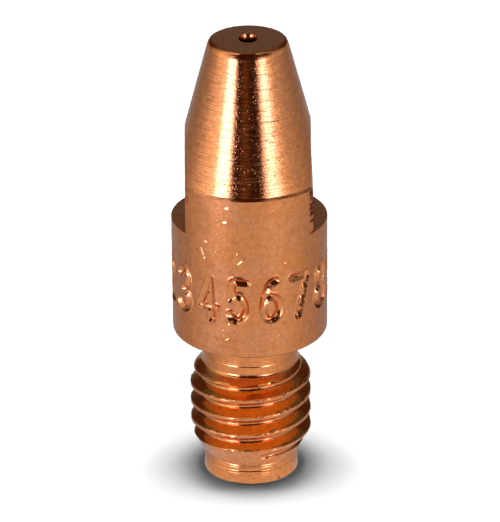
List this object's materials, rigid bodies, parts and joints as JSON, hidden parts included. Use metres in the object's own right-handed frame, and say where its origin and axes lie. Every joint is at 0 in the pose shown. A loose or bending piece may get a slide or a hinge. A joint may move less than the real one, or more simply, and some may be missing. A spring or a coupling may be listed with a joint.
{
  "type": "welding contact tip",
  "caption": "Turned copper contact tip for a wire welding torch: threaded rear stem, round body with two wrench flats, long front cone and an axial wire bore.",
  "frame": {"origin": "centre of the rear end face, on the axis of the wire bore; the tip stands on this face", "axes": "+Z along the wire bore towards the front face; +X square to one wrench flat and -X square to the other"},
  "size_m": [0.01, 0.01, 0.03],
  "materials": {
    "copper": "gloss"
  },
  "bodies": {
    "root": {"contact_tip": "copper"}
  },
  "joints": []
}
